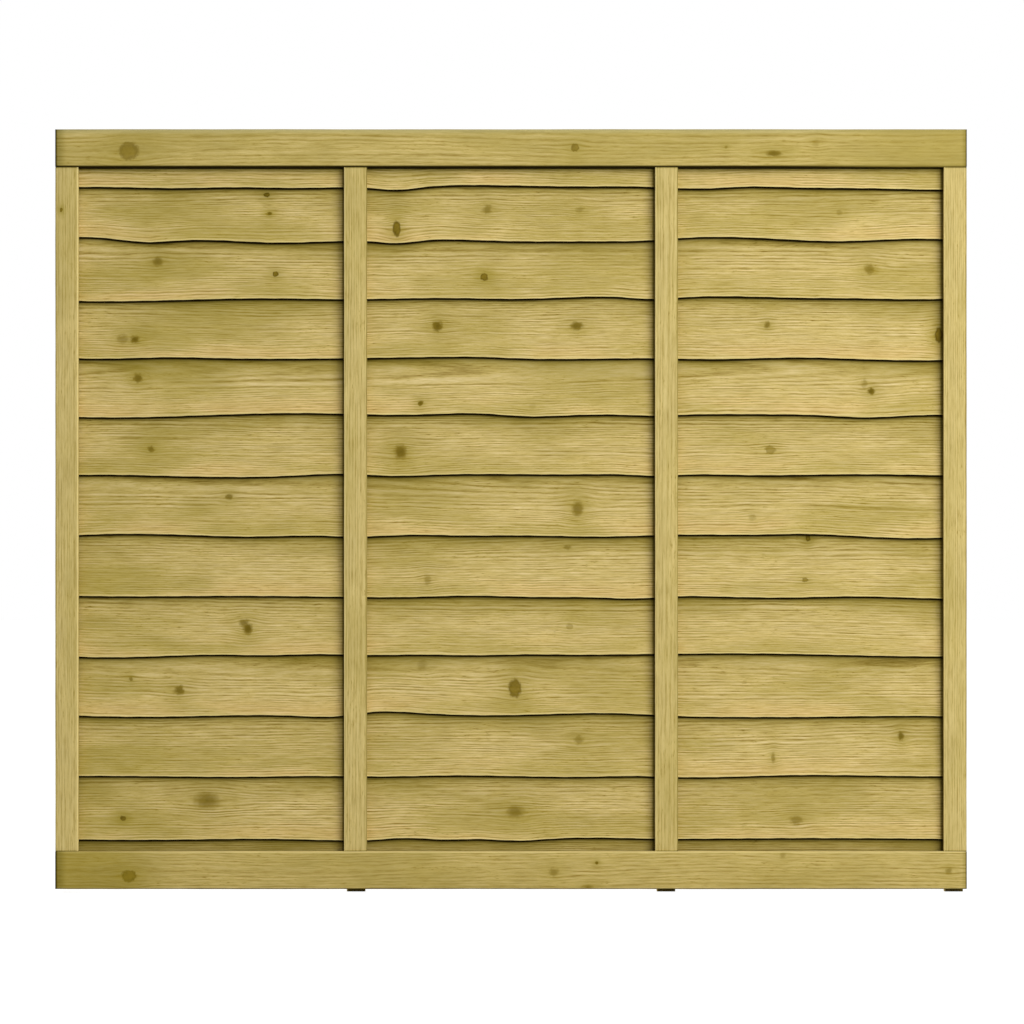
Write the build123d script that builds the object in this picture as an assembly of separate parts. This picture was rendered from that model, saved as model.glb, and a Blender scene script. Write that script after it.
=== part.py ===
from build123d import *
import os
from math import asin, cos, sin, tan

# A lap fence panel: thin waney-edged boards lapped like tiles, held between front and rear battens,
# with a rail across the front at the top and the bottom. Millimetres, +Z up, the front faces -Y.
# The origin is on the lowest plane of the panel, under the middle of its width and its depth.

# Overall size
panel_width = 1828.0            # over the ends of the rails
panel_height = 1524.0           # from the bottom rail's lower edge to the top rail's upper edge

# Rails, across the front
rail_face = 76.0
rail_thickness = 21.0
rail_arris = 3.0                # easing of the edges round the front face

# Front battens, upright between the rails
front_batten_face = 46.0
front_batten_thickness = 16.0
front_batten_arris = 2.5
middle_bay = 578.0              # clear width between the two inner front battens

# Rear battens, the full height behind the boards, each behind a front one
rear_batten_face = 38.0
rear_batten_thickness = 15.0
rear_batten_arris = 1.5
rear_top_setback = 3.0          # below the top rail's upper edge
rear_foot_drop = 7.5            # below the bottom rail's lower edge, at all but the left one

# Lap boards
board_thickness = 6.0
board_lap = 42.0                # from a board's lower line up to the top edge of the board below it
board_end_inset = 1.0           # in from the rails' ends
first_line_drop = 45.0          # from the top rail's lower edge down to the first board's lower line
last_line_rise = 18.0           # from the bottom rail's upper edge up to the last bark edge's lower line
wane_undercut = 3.0             # how much higher the bark edge is on a board's rear face
wane_step = 0.5                 # the step in which the bark edges' heights are given below

# Nails, driven from behind, with the point left blind in the front timber
nail_length = 40.0
nail_radius = 1.4
nail_sides = 6                  # the round wire is built with six flats
nail_point = 4.0
nail_head_radius = 3.3
nail_head_thickness = 1.2
nail_edge_distance = 7.0        # from a board's sawn edge to the nails beside it
top_rail_nail_rise = 26.0       # from the top rail's lower edge up to its first nails
rail_nail_spacing = 24.0        # between the two nails at each crossing of a rail

# The bark edge of each board from the top down, as stations in per cent of the board's length and
# how many steps the edge stands above the board's lower line there. The last board is sawn straight.
wane_edges = (
    ((0, 11), (6, 13), (13, 8), (20, 12), (26, 9), (31, 12), (34.5, 9), (37.5, 1), (40.5, 13),
     (43.5, 20), (51, 18), (58, 15), (64, 15), (71.5, 7), (76, 15), (81, 11), (89, 8), (95, 3),
     (100, 3)),
    ((0, 40), (7.5, 37), (10, 29), (13.5, 36), (20, 33), (23, 28), (31, 34), (34.5, 33), (37.5, 25),
     (40.5, 37), (45, 39), (50, 33), (59, 33), (65, 36), (69, 47), (78, 45), (86, 33), (93.5, 43),
     (100, 34)),
    ((0, 34), (13.5, 35), (20, 41), (26, 41), (32, 38), (39, 42), (45, 42), (50, 39), (56, 45),
     (62, 47), (65, 39), (69, 46), (76, 49), (82, 43), (87, 42), (93, 38), (100, 44)),
    ((0, 44), (8, 39), (12, 43), (18, 39), (32, 39), (41, 44), (47, 44), (51, 38), (57, 36), (65, 39),
     (73, 35), (82, 42), (87, 37), (100, 35)),
    ((0, 45), (15, 46), (21.5, 54), (29, 56), (33, 52), (40.5, 51), (46, 56), (52, 43), (56, 47),
     (62, 50), (65, 46), (69, 50), (77.5, 52), (85, 46), (88.5, 39), (92, 43), (100, 45)),
    ((0, 43), (6, 47), (11, 43), (26, 43), (31.5, 51), (37, 42), (42, 47), (57, 48), (63, 47),
     (65.5, 42), (69, 47), (76, 45), (85, 48), (94, 47), (100, 41)),
    ((0, 36), (15, 42), (21.5, 36), (29, 40), (32, 36), (40, 44), (43.5, 41), (51, 41), (60, 36),
     (68.5, 44), (77.5, 44), (82, 47), (87, 40), (100, 39)),
    ((0, 38), (11, 34), (19, 36), (31, 32), (40, 32), (45, 37), (53, 31), (59, 30), (63.5, 25),
     (68, 34), (73, 33), (81, 29), (87.5, 34), (97, 25), (100, 24)),
    ((0, 35), (14, 35), (18, 38), (22, 35), (29, 40), (34, 36), (40.5, 38), (45, 35), (53, 39),
     (57, 37), (62, 39), (82, 40), (90, 33), (100, 31)),
    ((0, 33), (13, 27), (26, 30), (31, 28), (34.5, 45), (40.5, 40), (50.5, 33), (57, 40), (62, 40),
     (68, 29), (75, 25), (82, 25), (88, 28), (100, 26)),
    ((0, 26), (11, 25), (22, 23), (27.5, 26), (37, 24), (42, 28), (51, 25), (59, 23), (63.5, 26),
     (68.5, 21), (74.5, 23), (81.5, 30), (87, 29), (100, 25)),
    ((0, 12), (14.5, 9), (24.5, 11), (31.5, 5), (34.5, 6), (38, 15), (43, 8), (46, 11), (51, 4),
     (54.5, 12), (65.5, 12), (74.5, 13), (100, 10)),
)
board_count = len(wane_edges) + 1

# Heights, from the feet of the longer rear battens
bottom_rail_low = rear_foot_drop
bottom_rail_high = bottom_rail_low + rail_face
panel_top = bottom_rail_low + panel_height
top_rail_low = panel_top - rail_face
rear_batten_top = panel_top - rear_top_setback

# The lower lines of the boards share the height between the first and the last bark edge
first_line = top_rail_low - first_line_drop
last_line = bottom_rail_high + last_line_rise
board_pitch = (first_line - last_line) / (len(wane_edges) - 1)

# The boards lean by the angle at which the back of one lies flat on the front of the next
lean = asin(board_thickness / board_pitch)
board_rise = board_pitch + board_lap
board_slope_length = board_rise / cos(lean)
sandwich = board_slope_length * sin(lean) + board_thickness * cos(lean)

# Both rails lie as deep as the first board's face is at the top rail's lower edge. The sawn lower edge
# of the last board meets the bottom rail at that depth, as high above its own line.
rail_seat = first_line_drop * tan(lean)
last_board_low = last_line - board_pitch + first_line_drop

# Heights of the nails
lap_nail_rise = board_lap - nail_edge_distance
top_rail_nails = top_rail_low + top_rail_nail_rise
bottom_rail_nails = last_board_low + nail_edge_distance

# Depths: the rails' front to the nail heads, centred on the origin
panel_depth = rail_thickness - rail_seat + sandwich + rear_batten_thickness + nail_head_thickness
rail_front = -panel_depth / 2
rail_back = rail_front + rail_thickness
batten_plane = rail_back - rail_seat            # the back of the front battens
rear_plane = batten_plane + sandwich            # the front of the rear battens
rear_back = rear_plane + rear_batten_thickness

# The outer battens end level with the rails, and the inner ones stand on either side of the middle bay
outer_batten_x = (panel_width - front_batten_face) / 2
inner_batten_x = (middle_bay + front_batten_face) / 2
batten_xs = (-outer_batten_x, -inner_batten_x, inner_batten_x, outer_batten_x)
batten_sides = ("left", "mid_left", "mid_right", "right")


def lower_line(board):
    """Height of a board's lower line, counting boards from 0 at the top."""
    return first_line - board * board_pitch


def upright(x, face, thickness, front, low, high, arris):
    """An upright batten with its two long front edges eased."""
    block = Pos(x, front + thickness / 2, (low + high) / 2) * Box(face, thickness, high - low)
    front_edges = block.edges().filter_by(Axis.Z).group_by(Axis.Y)[0]
    return fillet(front_edges, arris)


def rail(low):
    """A rail across the front, with the edges round its front face eased."""
    middle = Pos(0, rail_front + rail_thickness / 2, low + rail_face / 2)
    block = middle * Box(panel_width, rail_thickness, rail_face)
    return fillet(block.faces().sort_by(Axis.Y)[0].edges(), rail_arris)


def wire_nail():
    """A wire nail along Y at the origin's X and Z, with its head on the back of the rear battens."""
    shank_end = nail_point - nail_length
    section = RegularPolygon(nail_radius, nail_sides)
    head = extrude(RegularPolygon(nail_head_radius, nail_sides), nail_head_thickness)
    shank = extrude(section, shank_end)
    tip = loft([Pos(0, 0, shank_end) * section, Vertex(0, 0, -nail_length)])
    from_behind = Plane(origin=(0, rear_back, 0), x_dir=(1, 0, 0), z_dir=(0, 1, 0))
    return from_behind * (head + shank + tip)


def wane_curve(edge, height):
    """The bark edge as a smooth curve on a board's face, raised by a height."""
    board_length = panel_width - 2 * board_end_inset
    start = -board_length / 2
    points = [(start + station / 100 * board_length, steps * wane_step + height) for station, steps in edge]
    return Spline(*points)


def board_face(low_edge, top):
    """The outline of one face of a board, closed over its lower edge."""
    start = low_edge @ 0
    end = low_edge @ 1
    sides = Polyline(end, (end.X, top), (start.X, top), start)
    return make_face(low_edge + sides)


def lap_board(board):
    """One leaning board, its bark edge cut back under its front face."""
    line = lower_line(board)
    plane = Plane(origin=(0, batten_plane, line), x_dir=(1, 0, 0), z_dir=(0, -cos(lean), sin(lean)))
    top = min(board_rise, rear_batten_top - line) / cos(lean)
    if board < len(wane_edges):
        front_edge = wane_curve(wane_edges[board], 0)
        rear_edge = wane_curve(wane_edges[board], wane_undercut)
    else:
        front_edge = wane_curve(((0, 0), (100, 0)), (last_board_low - line) / cos(lean))
        rear_edge = front_edge
    front = board_face(front_edge, top)
    rear = Pos(0, 0, -board_thickness) * board_face(rear_edge, top)
    return plane * loft([rear, front], ruled=True)


def nail_row(pattern, height):
    """One nail at each batten, at one height."""
    return [Pos(x, 0, height) * pattern for x in batten_xs]


def flat(rows):
    """All the nails of several rows."""
    return [nail for row in rows for nail in row]


def write(node, shape):
    """Write one node's solids to its own file."""
    export_step(shape, f"parts/{node}.step")


os.makedirs("parts", exist_ok=True)

# One row of nails through each lap, and two rows through each rail
pattern = wire_nail()
lap_rows = [nail_row(pattern, lower_line(board) + lap_nail_rise) for board in range(board_count - 1)]
top_rail_rows = [nail_row(pattern, top_rail_nails + i * rail_nail_spacing) for i in range(2)]
bottom_rail_rows = [nail_row(pattern, bottom_rail_nails + i * rail_nail_spacing) for i in range(2)]

# Each board is nailed through both its laps, and the first and the last through a rail as well
for board in range(board_count):
    rows = lap_rows[max(board - 1, 0):board + 1]
    if board == 0:
        rows = rows + top_rail_rows
    if board == board_count - 1:
        rows = rows + bottom_rail_rows
    write(f"lap_board_{board + 1:02d}", lap_board(board) - flat(rows))

write("top_rail", rail(top_rail_low) - flat(top_rail_rows))
write("bottom_rail", rail(bottom_rail_low) - flat(bottom_rail_rows))

# The front battens are nailed through the laps alone, and the rear ones through the rails too
all_rows = lap_rows + top_rail_rows + bottom_rail_rows
for i, (side, x) in enumerate(zip(batten_sides, batten_xs)):
    front = upright(x, front_batten_face, front_batten_thickness, batten_plane - front_batten_thickness,
                    bottom_rail_high, top_rail_low, front_batten_arris)
    write(f"front_batten_{side}", front - [row[i] for row in lap_rows])
    foot = bottom_rail_low if side == "left" else bottom_rail_low - rear_foot_drop
    rear = upright(x, rear_batten_face, rear_batten_thickness, rear_plane, foot, rear_batten_top,
                   rear_batten_arris)
    write(f"rear_batten_{side}", rear - [row[i] for row in all_rows])

write("lap_nails", Compound(children=flat(lap_rows)))
write("rail_nails", Compound(children=flat(top_rail_rows + bottom_rail_rows)))
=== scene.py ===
import math
from types import SimpleNamespace
import bmesh
import bpy
import numpy as np
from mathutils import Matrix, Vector


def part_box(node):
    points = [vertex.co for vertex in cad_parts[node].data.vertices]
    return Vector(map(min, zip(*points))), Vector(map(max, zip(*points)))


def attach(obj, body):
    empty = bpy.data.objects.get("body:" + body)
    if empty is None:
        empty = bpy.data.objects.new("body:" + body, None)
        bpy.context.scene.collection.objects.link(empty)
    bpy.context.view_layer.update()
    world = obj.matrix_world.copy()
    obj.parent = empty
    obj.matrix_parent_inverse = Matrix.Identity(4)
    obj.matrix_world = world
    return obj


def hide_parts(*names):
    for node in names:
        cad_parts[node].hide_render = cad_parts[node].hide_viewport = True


# Looks of a lap fence panel in pressure treated softwood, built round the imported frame, in metres
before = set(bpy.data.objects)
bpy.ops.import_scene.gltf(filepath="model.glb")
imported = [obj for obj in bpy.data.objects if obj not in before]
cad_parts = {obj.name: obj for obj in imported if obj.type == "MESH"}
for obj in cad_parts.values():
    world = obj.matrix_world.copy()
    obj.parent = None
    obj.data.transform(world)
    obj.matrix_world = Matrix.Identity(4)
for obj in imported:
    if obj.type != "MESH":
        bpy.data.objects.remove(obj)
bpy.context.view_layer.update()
print("frame: loaded", len(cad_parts), "nodes")


# Shader maths: a Field is one socket of a material, and sums on it add Math nodes
class Field:
    def __init__(self, tree, socket=None):
        self.tree = tree
        self.socket = socket

    def node(self, kind, settings=None, inputs=None, output=0):
        made = self.tree.nodes.new(kind)
        for name, value in (settings or {}).items():
            if name == "stops":
                self.setStops(made.color_ramp, value)
            else:
                setattr(made, name, value)
        for name, value in (inputs or {}).items():
            if isinstance(value, Field):
                self.tree.links.new(value.socket, made.inputs[name])
            else:
                made.inputs[name].default_value = value
        return Field(self.tree, made.outputs[output]) if len(made.outputs) else None

    def setStops(self, ramp, stops):
        while len(ramp.elements) < len(stops):
            ramp.elements.new(0.5)
        for element, (place, value) in zip(ramp.elements, stops):
            element.position = place
            element.color = (value, value, value, 1) if isinstance(value, (int, float)) else value

    def apply(self, operation, *others, clamp=False):
        settings = {"operation": operation, "use_clamp": clamp}
        return self.node("ShaderNodeMath", settings, dict(enumerate((self, *others))))

    def __add__(self, other):
        return self.apply("ADD", other)

    def __sub__(self, other):
        return self.apply("SUBTRACT", other)

    def __mul__(self, other):
        return self.apply("MULTIPLY", other)

    def __truediv__(self, other):
        return self.apply("DIVIDE", other)

    def __pow__(self, other):
        return self.apply("POWER", other)

    def __neg__(self):
        return self.apply("MULTIPLY", -1.0)

    def __radd__(self, other):
        return self.apply("ADD", other)

    def __rmul__(self, other):
        return self.apply("MULTIPLY", other)

    def __rsub__(self, other):
        return self.node("ShaderNodeMath", {"operation": "SUBTRACT"}, {0: other, 1: self})

    def __rtruediv__(self, other):
        return self.node("ShaderNodeMath", {"operation": "DIVIDE"}, {0: other, 1: self})

    def __abs__(self):
        return self.apply("ABSOLUTE")

    def clamped(self):
        return self.apply("ADD", 0.0, clamp=True)

    # 0 below low, 1 above high and smooth between; with low above high it falls instead
    def step(self, low, high):
        inputs = {"Value": self, "From Min": low, "From Max": high}
        return self.node("ShaderNodeMapRange", {"interpolation_type": "SMOOTHSTEP"}, inputs)

    def ramp(self, *stops):
        return self.node("ShaderNodeValToRGB", {"stops": stops}, {"Fac": self})

    # Mixes two colours, with this field as the share of the second
    def mixed(self, first, second, blend="MIX"):
        inputs = {0: self, 6: first, 7: second}
        return self.node("ShaderNodeMix", {"data_type": "RGBA", "blend_type": blend}, inputs, 2)

    # This colour seen through another
    def through(self, colour):
        inputs = {0: 1.0, 6: self, 7: colour}
        return self.node("ShaderNodeMix", {"data_type": "RGBA", "blend_type": "MULTIPLY"}, inputs, 2)

    def scaled(self, factor):
        return self.node("ShaderNodeVectorMath", {"operation": "SCALE"}, {0: self, "Scale": factor})

    def point(self, x, y, z):
        return self.node("ShaderNodeCombineXYZ", inputs={0: x, 1: y, 2: z})

    def noise(self, x, y, detail=1.0, roughness=0.5):
        inputs = {"Vector": self.point(x, y, 0.0), "Scale": 1.0, "Detail": detail, "Roughness": roughness}
        return self.node("ShaderNodeTexNoise", {"noise_dimensions": "2D"}, inputs)


# A colour as it is picked on screen, turned into the linear values that sockets take
def tint(red, green, blue):
    def linear(value):
        share = value / 255
        return share / 12.92 if share <= 0.04045 else ((share + 0.055) / 1.055) ** 2.4
    return (linear(red), linear(green), linear(blue), 1.0)


# An empty material, and the Field that adds nodes to it
def newMaterial(name):
    material = bpy.data.materials.new(name)
    material.use_nodes = True
    material.node_tree.nodes.clear()
    return material, Field(material.node_tree)


def objectPlace(start):
    place = start.node("ShaderNodeTexCoord", output="Object")
    return [place.node("ShaderNodeSeparateXYZ", inputs={0: place}, output=i) for i in range(3)]


def addShader(start, inputs):
    shader = start.node("ShaderNodeBsdfPrincipled", inputs=inputs)
    start.node("ShaderNodeOutputMaterial", inputs={"Surface": shader})


# Treated softwood: rings round a pith outside the piece, knots that the grain flows round, sawn face
timberLook = {
    "pale": tint(238, 216, 158),        # pale wood between the rings
    "middle": tint(211, 188, 115),
    "late": tint(142, 116, 40),         # dark line that ends each ring
    "green": tint(160, 143, 50),        # where more of the treatment stayed
    "warm": tint(222, 178, 112),        # rosy sapwood by the bark edge
    "smoke": tint(152, 134, 34),        # soft dark wood round a knot
    "knotRim": tint(80, 61, 4),
    "knotCore": tint(146, 124, 38),
    "worn": tint(242, 222, 150),        # painted highlight on an arris
    "sage": tint(186, 177, 122),        # weathered top of the panel
    "shadow": tint(24, 15, 0),          # painted shade under a lap, in a joint and on a foot; also the rails' darker end grain
    "damp": (1.0, 1.0, 0.62, 1.0),      # how much painted shade and dark end grain let through of each colour, so they turn olive
    "ringSpacing": 0.0055,
    "ringStrength": 0.75,
    "unevenYears": 3.2,                 # how far wide and narrow years shift the rings, in rings
    "dashStrength": 0.14,
    "checkStrength": 0.45,
    "fibreStrength": 0.5,
    "evenTone": 0.44,                   # tone of bare wood, from 0, pale, to 1, late
    "greenShare": 0.40,
    "greenLeft": 0.2,                   # greener towards the boards' left ends
    "rosyShare": 0.25,
    "patchShade": 0.18,
    "wander": 0.010,                    # slow drift of the rings along the piece
    "bumpDepth": 0.0006,
}
# Noises stretched along the grain: waves per metre along and across it, how the seed shifts each of
# the two, detail and roughness
grainNoises = {
    "drift": {"waves": (1.3, 1.5), "seeds": (1, 0), "detail": 1.0, "roughness": 0.5},
    "ripple": {"waves": (9.0, 24.0), "seeds": (0, 1), "detail": 2.0, "roughness": 0.5},
    "faded": {"waves": (5.0, 0.6), "seeds": (0, 1), "detail": 1.0, "roughness": 0.5},   # across is in rings
    "patch": {"waves": (9.0, 34.0), "seeds": (-1, 0), "detail": 2.0, "roughness": 0.55},
    "cloud": {"waves": (2.6, 10.0), "seeds": (1, 0), "detail": 2.0, "roughness": 0.5},
    "fibre": {"waves": (50.0, 420.0), "seeds": (0, 1), "detail": 2.0, "roughness": 0.7},
    "streak": {"waves": (20.0, 330.0), "seeds": (1, 0), "detail": 1.0, "roughness": 0.5},
    "torn": {"waves": (40.0, 700.0), "seeds": (0, 0), "detail": 1.0, "roughness": 0.5},
}
# Dark share of a ring from its start to its end
lateWood = ((0.0, 0.3), (0.15, 0.0), (0.3, 0.1), (0.5, 0.45), (0.7, 1.0), (0.85, 0.85), (1.0, 0.3))
depthShare = 0.83       # depth counts as height too, so that the grain runs on round an edge
knotForm = {
    "waves": 90.0,          # of the ragged outline, per metre
    "turn": 0.7,            # slant of those waves to the grain
    "ragged": 1.2,
    "largeRadius": 9.0,     # past this many millimetres the outline gets no more ragged
    "push": 0.6,            # how far the grain moves aside, as a share of the knot's height
    "haloFall": -0.11,      # how fast the halo fades away from the knot
}
# Painted shade below a lap: the share of the wood's colour left unshaded, by the distance from the lap's
# edge as a share of the shade's reach
lapShadeRate = 16.6     # per metre, so that the painted shade ends 60 mm below the lap
lapShadeRamp = ((0.0, 0.0), (0.055, 0.02), (0.08, 0.3), (0.11, 0.44), (0.15, 0.58), (0.22, 0.73), (0.35, 0.86),
            (0.6, 0.95), (1.0, 1.0))


# Where a point of the surface lies on its piece: along the grain, across it, and in from the face
def woodPlace(start, grain, origin, seed, bark):
    x, y, z = objectPlace(start)
    sides = x - origin[0], z - origin[2]
    along, across = sides if grain == "X" else reversed(sides)
    at = SimpleNamespace(start=start, along=along, across=across, depth=y - origin[1], seed=seed, bark=bark)
    at.side = across + at.depth * depthShare
    if bark:
        at.edgeRise = start.node("ShaderNodeAttribute", {"attribute_name": "edgeRise"}, output="Fac")
        at.underLap = start.node("ShaderNodeAttribute", {"attribute_name": "underLap"}, output="Fac")
    at.patch = grainNoise(at, "patch", along, at.side)
    return at


def grainNoise(at, kind, along, across):
    form = grainNoises[kind]
    places = [where * waves for where, waves in zip((along, across), form["waves"])]
    places = [place + at.seed * seeds if seeds else place for place, seeds in zip(places, form["seeds"])]
    return at.start.noise(*places, form["detail"], form["roughness"])


# Height in the log: the rings drift along the piece and follow the bark edge
def logHeight(at, wander):
    drift = (grainNoise(at, "drift", at.along, at.across) - 0.5) * (2 * wander)
    ripple = (grainNoise(at, "ripple", at.along, at.across) - 0.5) * (0.5 * wander)
    level = at.across + drift + ripple
    if at.bark:
        level = level + (at.edgeRise - at.across) * at.edgeRise.step(0.09, 0.0) * 0.85
    return level


# The height with the grain parted round each knot, and how much of each point is knot, dark core and halo
def partedByKnots(at, level, knots):
    mark, halo, core = 0.0, 0.0, 0.0
    fineness, turn = knotForm["waves"], knotForm["turn"]
    turned = (at.along + at.across * turn) * fineness, (at.across - at.along * turn) * fineness + at.seed
    wobble = (at.start.noise(*turned, 2.0, 0.6) - 0.5) * knotForm["ragged"]
    for px, pz, rx, rz, dark, soft in knots:
        dx, dz = at.along - px / 1000, at.across - pz / 1000
        reach = ((dx * (1000 / rx)) ** 2.0 + (dz * (1000 / rz)) ** 2.0).apply("SQRT")
        ragged = reach + wobble * min(1.0, knotForm["largeRadius"] / max(rx, rz))
        near = (reach * reach * knotForm["haloFall"]).apply("EXPONENT")
        push = near * (rz / 1000 * knotForm["push"])
        level = level - dz / (dz * dz + (rz / 1000) ** 2).apply("SQRT") * push
        inside = ragged.step(1.1 + 0.4 * soft, 0.9 - 0.5 * soft) * min(1.0, dark * 1.25)
        # Crisp knots are darkest at the rim, soft ones a little darker in the middle
        inner = ragged * -0.3 + 0.68 if soft > 0.5 else ragged.step(0.45, 1.0) * 0.5 + 0.35
        mark = inside.apply("MAXIMUM", mark)
        core = ((wobble * 0.6 + inner) * near * dark).apply("MAXIMUM", core)
        halo = (near * dark).apply("MAXIMUM", halo)
    return level, mark, core, halo


# Rings by their distance from the pith, with some years wider, darker or fainter than others
def ringTone(at, level, pith, look):
    pithHeight, pithDepth, slant = pith
    rise = level - pithHeight
    sink = at.depth - pithDepth + at.along * slant
    years = (rise * rise + sink * sink).apply("SQRT") / look["ringSpacing"]
    years = years + at.start.noise(years * 0.21, at.along * 0.4 + at.seed) * look["unevenYears"]
    late = years.apply("FRACT").ramp(*lateWood)
    strong = at.start.node("ShaderNodeTexWhiteNoise", {"noise_dimensions": "1D"},
                           {"W": years.apply("FLOOR") + at.seed})
    faded = grainNoise(at, "faded", at.along, years).step(0.3, 0.65)
    return (late - 0.45) * (strong * 0.5 + 0.5) * (faded * 0.65 + 0.35)


# Colour of the bare wood: rings, dashes, and short dark checks where the fibres opened
def bareColour(at, level, rings, fibre, look):
    streak = grainNoise(at, "streak", at.along, level + at.depth * depthShare)
    dashes = streak.step(0.5, 0.68) - streak.step(0.5, 0.32)
    checks = fibre.step(0.62, 0.76) * at.patch.step(0.5, 0.7)
    tone = rings * look["ringStrength"] + dashes * look["dashStrength"] + checks * look["checkStrength"]
    tone = (tone + (fibre - 0.5) * look["fibreStrength"] + look["evenTone"]).clamped()
    return tone.ramp((0.0, look["pale"]), (0.45, look["middle"]), (1.0, look["late"]))


# Broad clouds of treatment, and rosy sapwood along a bark edge
def treatedColour(at, colour, look):
    cloud = grainNoise(at, "cloud", at.along, at.side)
    treated = cloud.step(0.42, 0.68) * look["greenShare"]
    if not at.bark:
        return treated.mixed(colour, look["green"])
    left = at.along.step(-0.1, -0.9) * cloud.step(0.25, 0.6) * look["greenLeft"]
    colour = (treated + left).clamped().mixed(colour, look["green"])
    rosy = at.edgeRise.step(0.045, 0.003) * cloud.step(0.56, 0.38) * look["rosyShare"]
    return rosy.mixed(colour, look["warm"])


# Painted highlight on the arris of a bark edge, and painted shade below the lap above, turning olive where
# it deepens
def edgeHighlightAndLapShade(at, colour, look):
    colour = (at.edgeRise.step(0.0042, 0.002) * 0.5).mixed(colour, look["worn"])
    unshaded = (at.underLap * lapShadeRate).ramp(*lapShadeRamp)
    damp = unshaded.ramp((0.0, look["damp"]), (0.5, look["damp"]), (1.0, (1.0, 1.0, 1.0, 1.0)))
    return (1.0 - unshaded).mixed(colour.through(damp), look["shadow"])


# Each entry is a real stain, a painted shade or a painted highlight: (coordinate, where it is strongest, how
# far it reaches, colour, share); "under" is across the grain too, but goes round to the rear, where the
# others stay on the front
def stainedAndShadedColour(at, colour, stainsAndShades, look):
    facing = at.underLap.step(0.5, 0.2) if at.bark else at.depth.step(0.012, 0.004)
    for axis, where, reach, markColour, share in stainsAndShades:
        coordinate = at.along if axis == "along" else at.across
        spread = abs(coordinate - where).step(reach, reach * 0.2)
        if axis != "under":
            spread = spread * facing
        # Painted shade and the rails' dark end grain also turn olive
        if markColour == "shadow":
            colour = (spread * min(1.0, 1.5 * share)).mixed(colour, look["damp"], "MULTIPLY")
        colour = (spread * share).mixed(colour, look[markColour])
    return colour


def timber(name, grain, origin, pith, seed, knots=(), look=None, stainsAndShades=(), bark=False):
    look = {**timberLook, **(look or {})}
    material, start = newMaterial(name)
    at = woodPlace(start, grain, origin, seed, bark)
    level = logHeight(at, look["wander"])
    if knots:
        level, knotMark, knotCore, knotHalo = partedByKnots(at, level, knots)
    rings = ringTone(at, level, pith, look)
    fibre = grainNoise(at, "fibre", at.along, level + at.depth * depthShare)
    colour = treatedColour(at, bareColour(at, level, rings, fibre, look), look)
    if knots:
        colour = (knotHalo * (at.patch * 0.7 + 0.25)).clamped().mixed(colour, look["smoke"])
        colour = knotMark.mixed(colour, knotCore.clamped().mixed(look["knotCore"], look["knotRim"]))
    shade = (at.patch - 0.5) * look["patchShade"] + 1.0
    if bark:
        # Painted shade: each board darkens up its face towards the lap above
        shade = shade * (at.edgeRise * 8.0).ramp((0.0, 1.0), (1.0, 0.92))
        colour = edgeHighlightAndLapShade(at, colour, look)
    colour = stainedAndShadedColour(at, colour, stainsAndShades, look).scaled(shade)

    # Sawn surface: torn fibres along the grain
    torn = grainNoise(at, "torn", at.along, at.side)
    bump = start.node("ShaderNodeBump", inputs={
        "Strength": 0.5, "Distance": look["bumpDepth"], "Height": torn})
    rough = (fibre * 0.16 - rings * 0.08 + 0.66).clamped()
    addShader(start, {"Base Color": colour, "Roughness": rough, "Normal": bump, "Specular IOR Level": 0.04})
    return material


# Puts a finished mesh in the scene and hands it to the frame
def addPiece(name, mesh, material, replaced):
    mesh.materials.clear()
    mesh.materials.append(material)
    piece = bpy.data.objects.new(name, mesh)
    bpy.context.scene.collection.objects.link(piece)
    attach(piece, "root")
    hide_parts(replaced)
    return piece


# A closed tube of rings of points, rows by stations, with both ends filled
def tubeMesh(name, points, sharpAngle):
    stations, count, _ = points.shape
    ring = np.arange(count)
    base = (np.arange(stations - 1) * count)[:, None]
    quads = np.stack([base + ring, base + (ring + 1) % count,
                      base + count + (ring + 1) % count, base + count + ring], axis=-1).reshape(-1, 4)
    faces = [list(map(int, quad)) for quad in quads]
    faces.append(list(range(count)))
    faces.append(list(range(stations * count - 1, (stations - 1) * count - 1, -1)))
    mesh = bpy.data.meshes.new(name)
    mesh.from_pydata(points.reshape(-1, 3).tolist(), [], faces)
    work = bmesh.new()
    work.from_mesh(mesh)
    bmesh.ops.recalc_face_normals(work, faces=work.faces)
    work.to_mesh(mesh)
    work.free()
    mesh.shade_smooth()
    mesh.set_sharp_from_angle(angle=math.radians(sharpAngle))
    return mesh


# A slow random curve: waves of the given lengths and heights, each with a random start
def waves(places, lengths, heights, rng):
    total = np.zeros_like(places)
    for length, height in zip(lengths, heights):
        total += height * np.sin(2 * math.pi * places / length + rng.uniform(0, 2 * math.pi))
    return total


# Lap boards
boardForm = {
    "count": 13,
    "thickness": 0.006,
    "wane": 0.003,              # how far the bark edge is cut back behind its front
    "waneCurve": 1.7,
    "arris": 0.0006,
    "stationStep": 0.005,
    "noseRows": [0.0016, 0.004, 0.009],     # rows of points up the face: close at the bark edge, then even
    "firstRow": 0.015,
    "rowStep": 0.007,
    "topGap": 0.002,            # no row comes nearer to the top than this
    "curl": 0.0024,             # most that a bark edge stands off between the battens
    "curlReach": 0.060,
    "railShadeRate": 2.0,           # the painted shade below the top rail runs a shorter way down the board behind it
    "roughLengths": (0.011, 0.019, 0.034, 0.060),
    "roughHeights": (0.00001, 0.00003, 0.00010, 0.00020),
    "faceTolerance": 2e-5,      # points this near to the front face are on it
    "holeReach": 0.002,         # points this near to a row of nails aren't read as bark edge
    "smoothStations": 6,        # stations on each side that smooth the edge as it is read
    "smoothSpread": 2.2,
    "sharpAngle": 40,
}
boardNodes = [f"lap_board_{k:02d}" for k in range(1, boardForm["count"] + 1)]
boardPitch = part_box(boardNodes[2])[1].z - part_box(boardNodes[3])[1].z
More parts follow.
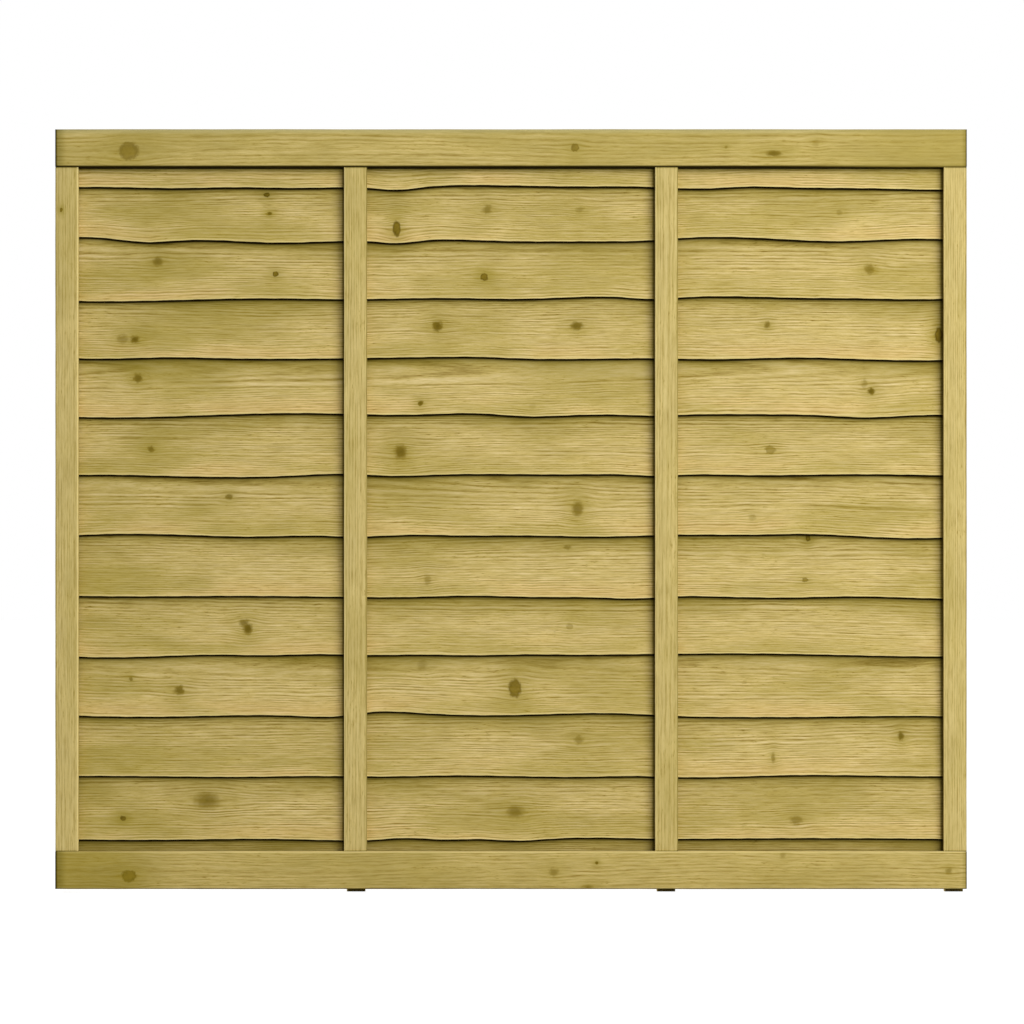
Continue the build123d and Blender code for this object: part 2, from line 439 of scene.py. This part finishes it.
lean = math.asin(boardForm["thickness"] / boardPitch)
faceOut = np.array((0.0, -math.cos(lean), math.sin(lean)))
slopeUp = np.array((0.0, math.sin(lean), math.cos(lean)))
battenSides = ("left", "mid_left", "mid_right", "right")
battenCentres = [sum(corner.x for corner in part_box(f"front_batten_{side}")) / 2 for side in battenSides]
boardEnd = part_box(boardNodes[0])[1].x
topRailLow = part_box("top_rail")[0].z
firstLineDrop = 0.045

# Knots of each board from the top down, in millimetres: along from the middle, above the board's lower
# line, half length, half height, how dark, and how soft its outline is
boardKnots = [
    [],
    [(-491, 110, 6, 5, 1.0, 0.3), (-485, 72, 5, 4, 0.8, 0.6), (-230, 42, 8, 16, 0.9, 0.3),
     (-48, 80, 9, 9, 0.55, 1.0), (138, 80, 7, 6, 0.4, 0.8), (660, 74, 6, 5, 0.35, 0.8)],
    [(-710, 95, 10, 9, 0.65, 1.0), (-473, 69, 6, 5, 1.0, 0.2), (-54, 63, 8, 7, 1.0, 0.3),
     (720, 79, 10, 10, 0.6, 1.0)],
    [(-780, 58, 12, 9, 0.5, 1.0), (-756, 57, 9, 7, 0.9, 0.9), (-148, 84, 10, 11, 0.85, 0.7),
     (132, 84, 13, 8, 0.75, 0.7), (515, 86, 6, 7, 0.65, 0.9), (860, 66, 8, 15, 1.0, 0.3)],
    [(-750, 98, 9, 9, 0.75, 0.8), (-182, 48, 5, 5, 0.9, 0.6), (42, 43, 7, 6, 0.15, 0.4),
     (724, 72, 7, 7, 0.9, 0.7), (711, 88, 6, 9, 0.4, 1.0)],
    [(-724, 75, 7, 6, 0.7, 0.7), (-222, 69, 12, 14, 0.78, 0.8), (521, 73, 10, 9, 0.5, 0.3)],
    [(-567, 98, 7, 6, 0.65, 0.6), (134, 74, 11, 15, 0.65, 0.7), (485, 56, 7, 7, 0.3, 1.0)],
    [(-168, 50, 7, 10, 0.4, 1.0), (114, 115, 9, 4, 0.5, 0.8), (597, 134, 5, 8, 1.0, 0.5),
     (591, 50, 6, 5, 0.6, 0.2)],
    [(-529, 71, 9, 12, 0.85, 0.8), (-536, 82, 10, 8, 0.65, 0.9), (118, 75, 7, 7, 0.35, 0.3)],
    [(-667, 66, 10, 9, 0.72, 0.6), (-764, 88, 4, 4, 0.6, 0.7), (8, 70, 13, 18, 0.75, 0.3),
     (-178, 116, 9, 10, 0.3, 1.0)],
    [(136, 85, 9, 9, 0.45, 0.8), (784, 93, 6, 9, 0.75, 0.9), (527, 49, 4, 10, 0.5, 0.8)],
    [(-611, 82, 24, 16, 0.62, 1.0), (-780, 47, 6, 5, 1.0, 0.5), (8, 60, 17, 12, 0.6, 1.0),
     (573, 43, 12, 9, 0.5, 0.8)],
    [],
]
# Where each board's pith runs: above its lower line, behind its face, and its slant along the board
boardPiths = [
    (0.150, 0.060, 0.010), (0.175, 0.045, -0.014), (0.130, 0.050, 0.008), (0.200, 0.030, 0.012),
    (0.115, 0.055, -0.020), (0.210, 0.040, 0.006), (0.140, 0.060, 0.014), (0.165, 0.035, -0.010),
    (0.190, 0.050, 0.016), (0.120, 0.045, 0.010), (0.180, 0.055, -0.012), (0.205, 0.030, 0.008),
    (0.160, 0.050, 0.010),
]


# The bark edge of a board, read from its frame solid as heights up its slope
def barkEdge(node, stations):
    points = np.array([v.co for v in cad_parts[node].data.vertices])
    out = points @ faceOut
    up = points @ slopeUp
    front = out > out.max() - boardForm["faceTolerance"]
    fromNails = np.min(np.abs(points[:, 0, None] - np.array(battenCentres)), axis=1)
    low = up < (up.min() + up.max()) / 2
    chosen = front & (fromNails > boardForm["holeReach"]) & low
    order = np.argsort(points[chosen, 0])
    heights = np.interp(stations, points[chosen, 0][order], up[chosen][order])
    margin = boardForm["smoothStations"]
    kernel = np.exp(-0.5 * (np.arange(-margin, margin + 1) / boardForm["smoothSpread"]) ** 2)
    padded = np.pad(heights, margin, mode="edge")
    return np.convolve(padded, kernel / kernel.sum(), mode="valid"), out.max(), up.max()


# How far a board stands off its neighbour along its length: nothing at the battens
def standOff(stations, rng):
    lift = np.zeros_like(stations)
    for left, right in zip(battenCentres[:-1], battenCentres[1:]):
        share = np.clip((stations - left) / (right - left), 0, 1)
        lift += np.sin(math.pi * share) ** 2 * rng.uniform(0.25, 1.0)
    return lift * boardForm["curl"]


stations = np.linspace(-boardEnd, boardEnd, int(2 * boardEnd / boardForm["stationStep"]) + 1)
edges = [barkEdge(node, stations) for node in boardNodes]


# Round a board's section from the top: share of the height above the bark edge, and depth behind the front
def boardSection(height):
    thickness, arris, wane = boardForm["thickness"], boardForm["arris"], boardForm["wane"]
    evenRows = np.arange(boardForm["firstRow"], height - boardForm["topGap"], boardForm["rowStep"])
    rows = boardForm["noseRows"] + list(evenRows)
    front = [(1.0, arris), (1 - arris / height, 0.0)] + [(row / height, 0.0) for row in reversed(rows)]
    nose = [(arris / height, 0.0), (arris * 0.25 / height, arris * 0.3), (0.0, arris)]
    under = [(wane / height * share ** boardForm["waneCurve"], arris + (thickness - arris) * share)
             for share in (0.3, 0.6, 0.85, 1.0)]
    back = [(row / height, thickness) for row in rows[1::2]]
    back += [(1 - arris / height, thickness), (1.0, thickness - arris)]
    return np.array(front + nose + under + back)


# How far each point lies below the lap or rail in front of it; 1 on the rear and the top, which get no
# painted shade
def lapDrop(index, heights, share, behind):
    if index:
        edgeAbove, faceAbove, _ = edges[index - 1]
        drop = (edgeAbove * slopeUp[2] + faceAbove * faceOut[2])[:, None] - heights
    else:
        drop = (topRailLow - heights) * boardForm["railShadeRate"]
    drop[:, (behind > boardForm["thickness"] / 2) | (share > 0.999)] = 1.0
    return drop


def writeAttribute(mesh, name, values):
    attribute = mesh.attributes.new(name, "FLOAT", "POINT")
    attribute.data.foreach_set("value", values.astype(np.float32).ravel())


def lapBoard(index):
    form = boardForm
    rng = np.random.default_rng(40 + index)
    edge, faceAt, top = edges[index]
    edge = edge + waves(stations, form["roughLengths"], form["roughHeights"], rng)
    lift = standOff(stations, rng)
    section = boardSection(top - edge.mean())
    share, behind = section[:, 0], section[:, 1]
    up = edge[:, None] + share[None, :] * (top - edge)[:, None]
    away = np.clip(1 - (up - edge[:, None]) / form["curlReach"], 0, 1) ** 2 * lift[:, None]
    # The ends are drawn in a little, so that they have an arris too
    inset = np.zeros((len(stations), 1))
    inset[0] = inset[-1] = form["arris"] * 0.6
    out = faceAt - behind[None, :] + away
    out = out + np.sign(behind[None, :] - form["thickness"] / 2) * inset
    points = np.empty((len(stations), len(section), 3))
    points[:] = up[:, :, None] * slopeUp + out[:, :, None] * faceOut
    points[:, :, 0] = stations[:, None]
    mesh = tubeMesh(f"lapBoard{index + 1:02d}", points, form["sharpAngle"])
    writeAttribute(mesh, "edgeRise", up - edge[:, None])
    writeAttribute(mesh, "underLap", lapDrop(index, points[:, :, 2], share, behind))
    return mesh


# Painted shadow along the left of each front batten, and over the last board, painted shade on the strip
# above the bottom rail
battenHalf = (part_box("front_batten_left")[1].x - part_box("front_batten_left")[0].x) / 2
shadowsBesideBattens = [("along", centre - battenHalf, 0.0075, "shadow", 0.8) for centre in battenCentres]
lastBoardShade = [("across", 0.105, 0.06, "shadow", 0.2)]
for index, node in enumerate(boardNodes):
    mesh = lapBoard(index)
    lineHeight = topRailLow - firstLineDrop - index * boardPitch
    stainsAndShades = shadowsBesideBattens + (lastBoardShade if node == boardNodes[-1] else [])
    material = timber(f"lapBoardWood{index + 1:02d}", "X", (0.0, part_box(node)[0].y, lineHeight),
                      boardPiths[index], 11.0 * index + 3.0, boardKnots[index], None, stainsAndShades, True)
    addPiece(f"lapBoard{index + 1:02d}", mesh, material, node)
print("boards: made", len(boardNodes))


# Rails and battens: sawn bars with eased arrises
barForm = {
    "step": 0.012,
    "segments": 5,
    "rearArris": 0.0006,
    "wander": 0.00025,          # how far from straight
    "wanderLengths": (0.9, 0.31, 0.083),
    "wanderShares": (0.4, 0.35, 0.25),
    "sharpAngle": 50,
}


def barMesh(name, low, high, arris, grain, endArris, seed):
    rng = np.random.default_rng(seed)
    work = bmesh.new()
    bmesh.ops.create_cube(work, size=1.0)
    size, centre = high - low, (high + low) / 2
    for vert in work.verts:
        vert.co = Vector((vert.co.x * size.x, vert.co.y * size.y, vert.co.z * size.z)) + centre
    axis = 0 if grain == "X" else 2
    frontLong, frontEnd = [], []
    for edge in work.edges:
        a, b = (vert.co for vert in edge.verts)
        onFront = max(a.y, b.y) < centre.y
        isLong = abs(a[axis] - b[axis]) > size[axis] / 2
        if onFront and isLong:
            frontLong.append(edge)
        elif onFront and endArris:
            frontEnd.append(edge)
    bmesh.ops.bevel(work, geom=frontLong + frontEnd, offset=arris, segments=barForm["segments"],
                    profile=0.5, affect="EDGES")
    square = [edge for edge in work.edges if edge.calc_face_angle(0) > 1.0]
    bmesh.ops.bevel(work, geom=square, offset=barForm["rearArris"], segments=2, profile=0.5, affect="EDGES")
    normal = Vector((1, 0, 0)) if axis == 0 else Vector((0, 0, 1))
    cuts = np.arange(low[axis] + barForm["step"], high[axis] - barForm["step"] / 2, barForm["step"])
    for cut in cuts:
        bmesh.ops.bisect_plane(work, geom=work.verts[:] + work.edges[:] + work.faces[:], dist=1e-7,
                               plane_co=normal * cut, plane_no=normal)
    bmesh.ops.recalc_face_normals(work, faces=work.faces)
    mesh = bpy.data.meshes.new(name)
    work.to_mesh(mesh)
    work.free()
    points = np.array([v.co for v in mesh.vertices])
    cross = 2 if axis == 0 else 0
    inward = np.sign(centre[cross] - points[:, cross])
    hollow = waves(points[:, axis], barForm["wanderLengths"], barForm["wanderShares"], rng)
    points[:, cross] += inward * (hollow * barForm["wander"] + barForm["wander"])
    mesh.vertices.foreach_set("co", points.astype(np.float32).ravel())
    mesh.shade_smooth()
    mesh.set_sharp_from_angle(angle=math.radians(barForm["sharpAngle"]))
    return mesh


# Knots as above, measured up from the rail's lower edge
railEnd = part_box("top_rail")[1].x
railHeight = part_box("top_rail")[1].z - topRailLow
rails = {
    "top_rail": {"name": "topRail", "pith": (0.110, 0.050, 0.012), "seed": 301.0, "knots": [
        (-766, 32, 20, 18, 0.6, 0.2), (128, 38, 8, 8, 0.65, 0.2), (431, 40, 3, 3, 0.5, 0.5),
        (527, 27, 15, 6, 0.75, 0.8), (611, 48, 7, 8, 0.25, 1.0)],
        # Top rail: a sage top edge, painted shade along its underside, greener towards the right end
        "stainsAndShades": [("across", railHeight, 0.012, "sage", 0.6), ("under", 0.0, 0.005, "shadow", 0.97),
                   ("along", railEnd, 0.40, "green", 0.65)]},
    "bottom_rail": {"name": "bottomRail", "pith": (-0.060, 0.040, 0.010), "seed": 322.0, "knots": [
        (-766, 27, 15, 12, 0.75, 0.1), (86, 35, 9, 8, 0.5, 1.0), (172, 53, 3, 3, 0.9, 0.6),
        (156, 5, 9, 4, 0.5, 0.9), (545, 69, 6, 6, 0.35, 0.9), (878, 37, 7, 6, 0.5, 0.9)],
        # Bottom rail: painted highlight on its top arris, painted shade along its underside, darker towards
        # the left end
        "stainsAndShades": [("across", railHeight, 0.004, "worn", 0.8), ("under", 0.0, 0.0028, "shadow", 0.95),
                   ("along", -railEnd, 0.28, "smoke", 0.6)]},
}
railLook = {"pale": tint(218, 197, 130), "middle": tint(197, 176, 103), "late": tint(150, 124, 48),
            "green": tint(168, 150, 72), "ringSpacing": 0.0072, "ringStrength": 0.6}
railArris = 0.003
# End grain takes up more damp: how far from the end, and share, for each end
railEnds = {"left": ((0.026, 0.35), (0.006, 0.95)), "right": ((0.012, 0.25), (0.004, 0.8))}
for node, rail in rails.items():
    low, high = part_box(node)
    mesh = barMesh(node, low, high, railArris, "X", True, int(rail["seed"]))
    ends = [("along", end, reach, "shadow", share)
            for end, side in ((low.x, "left"), (high.x, "right")) for reach, share in railEnds[side]]
    material = timber(node + "Wood", "X", (0.0, low.y, low.z), rail["pith"], rail["seed"], rail["knots"],
                      railLook, rail["stainsAndShades"] + ends)
    addPiece(rail["name"], mesh, material, node)

battenLook = {"pale": tint(222, 202, 136), "middle": tint(206, 185, 116), "late": tint(160, 136, 64),
              "ringSpacing": 0.0050, "ringStrength": 0.6, "greenShare": 0.2, "wander": 0.004}
battenArris = 0.0014
battenKnots = {"front_batten_left": [(600, -11, 4, 2.5, 1.0, 0.3)]}
battenPiths = ((0.070, 0.030, 0.004), (-0.060, 0.045, 0.003), (0.055, 0.060, -0.003), (-0.085, 0.020, 0.004))
battenShade = {
    "top": (0.003, 0.6),        # how far the shadow of each joint reaches, and its share
    "bottom": (0.003, 0.4),
    # Painted shade on a rear batten's foot below the bottom rail
    "foot": (0.016, 0.8),
    "footShows": 0.001,         # least that a batten reaches below the rail to have a foot
    "edgeReach": 0.0035,
    "edges": [("worn", 0.7), ("shadow", 0.42)],     # left and right: painted highlight on one arris, painted shade on the other; turned round on the left end batten
}


# Painted shadow where a front batten meets the rails, painted shade on a rear batten's foot, and painted
# highlight and shade on its two arrises
def shadesOfBatten(node, low, high, origin):
    top, bottom = high.z - origin[2], low.z - origin[2]
    shades = []
    if node.startswith("front"):
        shades = [("along", end, battenShade[side][0], "shadow", battenShade[side][1])
                  for end, side in ((top, "top"), (bottom, "bottom"))]
    elif low.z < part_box("bottom_rail")[0].z - battenShade["footShows"]:
        shades = [("along", bottom, battenShade["foot"][0], "shadow", battenShade["foot"][1])]
    tones = battenShade["edges"][::-1] if node == "front_batten_left" else battenShade["edges"]
    return shades + [("across", side.x - origin[0], battenShade["edgeReach"], *tone)
                     for side, tone in zip((low, high), tones)]


for layer in ("front", "rear"):
    for index, where in enumerate(battenSides):
        node = f"{layer}_batten_{where}"
        low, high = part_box(node)
        seed = 400.0 + 13 * index + (100 if layer == "rear" else 0)
        mesh = barMesh(node, low, high, battenArris, "Z", False, int(seed))
        origin = ((low.x + high.x) / 2, low.y, (low.z + high.z) / 2)
        material = timber(node + "Wood", "Z", origin, battenPiths[index], seed, battenKnots.get(node, ()),
                          battenLook, shadesOfBatten(node, low, high, origin))
        name = layer + "Batten" + "".join(word.capitalize() for word in where.split("_"))
        addPiece(name, mesh, material, node)
print("rails and battens: made")


# Galvanised nails, one on each point of a scatter read from the frame
nailForm = {"Head Radius": 0.0033, "Head Thickness": 0.0012, "Shank Radius": 0.0014, "Length": 0.040,
            "Point": 0.004, "Tilt": 0.02}
nailLook = {"zinc": tint(122, 124, 126), "bloom": tint(176, 178, 180), "dull": tint(120, 104, 84)}


def nailMaterial():
    material, start = newMaterial("galvanisedWire")
    x, y, z = objectPlace(start)
    bloom = start.noise(x * 420.0, (y + z) * 420.0, 2.0)
    dull = start.noise((x + y) * 60.0, z * 60.0)
    colour = bloom.step(0.35, 0.7).mixed(nailLook["zinc"], nailLook["bloom"])
    colour = (dull.step(0.5, 0.75) * 0.5).mixed(colour, nailLook["dull"])
    bump = start.node("ShaderNodeBump", inputs={"Strength": 0.3, "Distance": 0.0002, "Height": bloom})
    rough = bloom * 0.25 + 0.38
    addShader(start, {"Base Color": colour, "Metallic": 0.85, "Roughness": rough, "Normal": bump})
    return material


def nailTree(material):
    tree = bpy.data.node_groups.new("wireNails", "GeometryNodeTree")
    face = tree.interface
    face.new_socket("Geometry", in_out="INPUT", socket_type="NodeSocketGeometry")
    for name in nailForm:
        face.new_socket(name, in_out="INPUT", socket_type="NodeSocketFloat")
    face.new_socket("Geometry", in_out="OUTPUT", socket_type="NodeSocketGeometry")
    start = Field(tree)
    group = tree.nodes.new("NodeGroupInput")
    value = {name: Field(tree, group.outputs[name]) for name in ["Geometry", *nailForm]}

    def moved(shape, rise):
        offset = start.point(0.0, 0.0, rise)
        return start.node("GeometryNodeTransform", inputs={"Geometry": shape, "Translation": offset})

    headThick = value["Head Thickness"]
    disc = start.node("GeometryNodeMeshCylinder", inputs={
        "Vertices": 16, "Radius": value["Head Radius"], "Depth": headThick * 0.6}, output="Mesh")
    crown = start.node("GeometryNodeMeshCone", inputs={
        "Vertices": 16, "Radius Top": value["Head Radius"] * 0.72, "Radius Bottom": value["Head Radius"],
        "Depth": headThick * 0.4}, output="Mesh")
    shankLength = value["Length"] - value["Point"]
    shank = start.node("GeometryNodeMeshCylinder", inputs={
        "Vertices": 10, "Radius": value["Shank Radius"], "Depth": shankLength}, output="Mesh")
    tip = start.node("GeometryNodeMeshCone", inputs={
        "Vertices": 10, "Radius Top": value["Shank Radius"], "Radius Bottom": 0.0, "Depth": value["Point"]},
        output="Mesh")
    joined = tree.nodes.new("GeometryNodeJoinGeometry")
    for part in (moved(tip, -value["Length"]), moved(shank, shankLength * -0.5),
                 moved(disc, headThick * 0.3), moved(crown, headThick * 0.6)):
        tree.links.new(part.socket, joined.inputs[0])
    turned = start.node("GeometryNodeTransform", inputs={
        "Geometry": Field(tree, joined.outputs[0]), "Rotation": (-math.pi / 2, 0.0, 0.0)})
    tilt = start.node("FunctionNodeRandomValue", {"data_type": "FLOAT_VECTOR"}, {
        0: start.point(-value["Tilt"], -3.0, -value["Tilt"]),
        1: start.point(value["Tilt"], 3.0, value["Tilt"]), "Seed": 5})
    placed = start.node("GeometryNodeInstanceOnPoints", inputs={
        "Points": value["Geometry"], "Instance": turned, "Rotation": tilt})
    real = start.node("GeometryNodeRealizeInstances", inputs={"Geometry": placed})
    coated = start.node("GeometryNodeSetMaterial", inputs={"Geometry": real, "Material": material})
    output = tree.nodes.new("NodeGroupOutput")
    tree.links.new(coated.socket, output.inputs[0])
    return tree


# Where the heads sit: the furthest back points of each nail in the frame, gathered by place
def nailPlaces(node):
    points = np.array([v.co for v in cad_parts[node].data.vertices])
    rear = points[:, 1].max()
    headReach = 0.01            # points nearer than this belong to one head
    heads = {}
    for point in points[points[:, 1] > rear - nailForm["Head Thickness"] * 0.5]:
        near = [key for key in heads
                if (key[0] - point[0]) ** 2 + (key[1] - point[2]) ** 2 < headReach ** 2]
        heads.setdefault(near[0] if near else (point[0], point[2]), []).append(point)
    # A hair low, so that a leaning head stays inside the frame's size
    slack = math.sin(nailForm["Tilt"]) * nailForm["Head Radius"] * 1.5
    seat = rear - nailForm["Head Thickness"] - slack
    return [(float(np.mean([p[0] for p in head])), float(seat), float(np.mean([p[2] for p in head])))
            for head in heads.values()]


# The tree run on a node's places, as a plain mesh
def nailMesh(node, name, tree):
    scatter = bpy.data.meshes.new(name + "Points")
    scatter.from_pydata(nailPlaces(node), [], [])
    carrier = bpy.data.objects.new(name + "Carrier", scatter)
    bpy.context.scene.collection.objects.link(carrier)
    modifier = carrier.modifiers.new("nails", "NODES")
    modifier.node_group = tree
    for item in tree.interface.items_tree:
        if item.in_out == "INPUT" and item.name in nailForm:
            modifier[item.identifier] = nailForm[item.name]
    evaluated = carrier.evaluated_get(bpy.context.evaluated_depsgraph_get())
    mesh = bpy.data.meshes.new_from_object(evaluated)
    carrier.modifiers.remove(modifier)
    bpy.data.objects.remove(carrier)
    return mesh


wire = nailMaterial()
nails = nailTree(wire)
for node, name in (("lap_nails", "lapNails"), ("rail_nails", "railNails")):
    mesh = nailMesh(node, name, nails)
    addPiece(name, mesh, wire, node)
    print("nails:", name, len(mesh.polygons), "faces")


# Camera square to the front, from far enough off that the rails stay parallel
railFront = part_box("top_rail")[0].y
view = {"distance": 8.0, "metresPerPixel": 0.0020045, "pictureWidth": 1024, "centreX": 0.0020,
        "centreZ": 0.7638, "sensor": 36.0}
camera = bpy.data.objects.new("camera", bpy.data.cameras.new("camera"))
bpy.context.scene.collection.objects.link(camera)
camera.location = (view["centreX"], railFront - view["distance"], view["centreZ"])
camera.rotation_euler = (math.pi / 2, 0.0, 0.0)
camera.data.sensor_width = view["sensor"]
camera.data.lens = view["sensor"] * view["distance"] / (view["pictureWidth"] * view["metresPerPixel"])
camera.data.clip_end = 100.0
bpy.context.scene.camera = camera

# A broad soft lamp from the upper right, one for the rear, and plain light all round
lamps = {
    "key": {"at": (3.9, -4.9, 3.3), "size": 3.6, "power": 290.0},
    "rear": {"at": (-3.6, 5.0, 3.6), "size": 3.0, "power": 230.0},
}
target = Vector((0.0, 0.0, 0.75))
for name, lamp in lamps.items():
    light = bpy.data.lights.new(name, "AREA")
    light.size = lamp["size"]
    light.energy = lamp["power"]
    holder = bpy.data.objects.new(name, light)
    bpy.context.scene.collection.objects.link(holder)
    holder.location = lamp["at"]
    holder.visible_camera = False
    holder.rotation_euler = (target - holder.location).to_track_quat("-Z", "Y").to_euler()


# 1 on rays that show the backdrop: from the camera, or by way of polish or glass
def seenRays(start):
    kinds = ("Camera", "Glossy", "Transmission")
    rays = [start.node("ShaderNodeLightPath", output=f"Is {kind} Ray") for kind in kinds]
    return (rays[0] + rays[1] + rays[2]).clamped()


fillStrength = 0.38
world = bpy.data.worlds.new("studio")
bpy.context.scene.world = world
world.use_nodes = True
world.node_tree.nodes.clear()
sky = Field(world.node_tree)
strength = seenRays(sky) * (1.0 - fillStrength) + fillStrength
background = sky.node("ShaderNodeBackground", inputs={"Color": (1.0, 1.0, 1.0, 1.0), "Strength": strength})
sky.node("ShaderNodeOutputWorld", inputs={"Surface": background})

# Floor: pale, lifted to white for the camera, with the panel's shadow kept
floorLook = {"pale": (0.8, 0.8, 0.8, 1.0), "seen": (0.25, 0.25, 0.25, 1.0), "lift": 0.9, "reach": 20.0}
reach = floorLook["reach"]
corners = [(-reach, -reach, 0), (reach, -reach, 0), (reach, reach, 0), (-reach, reach, 0)]
floorMesh = bpy.data.meshes.new("floor")
floorMesh.from_pydata(corners, [], [(0, 1, 2, 3)])
floor = bpy.data.objects.new("floor", floorMesh)
bpy.context.scene.collection.objects.link(floor)
paper, sheet = newMaterial("paleFloor")
seen = seenRays(sheet)
addShader(sheet, {
    "Base Color": seen.mixed(floorLook["pale"], floorLook["seen"]),
    "Roughness": 0.9, "Specular IOR Level": 0.1,
    "Emission Color": (1.0, 1.0, 1.0, 1.0), "Emission Strength": seen * floorLook["lift"]})
floorMesh.materials.append(paper)

bpy.context.scene.view_settings.view_transform = "Standard"
print("scene: ready")
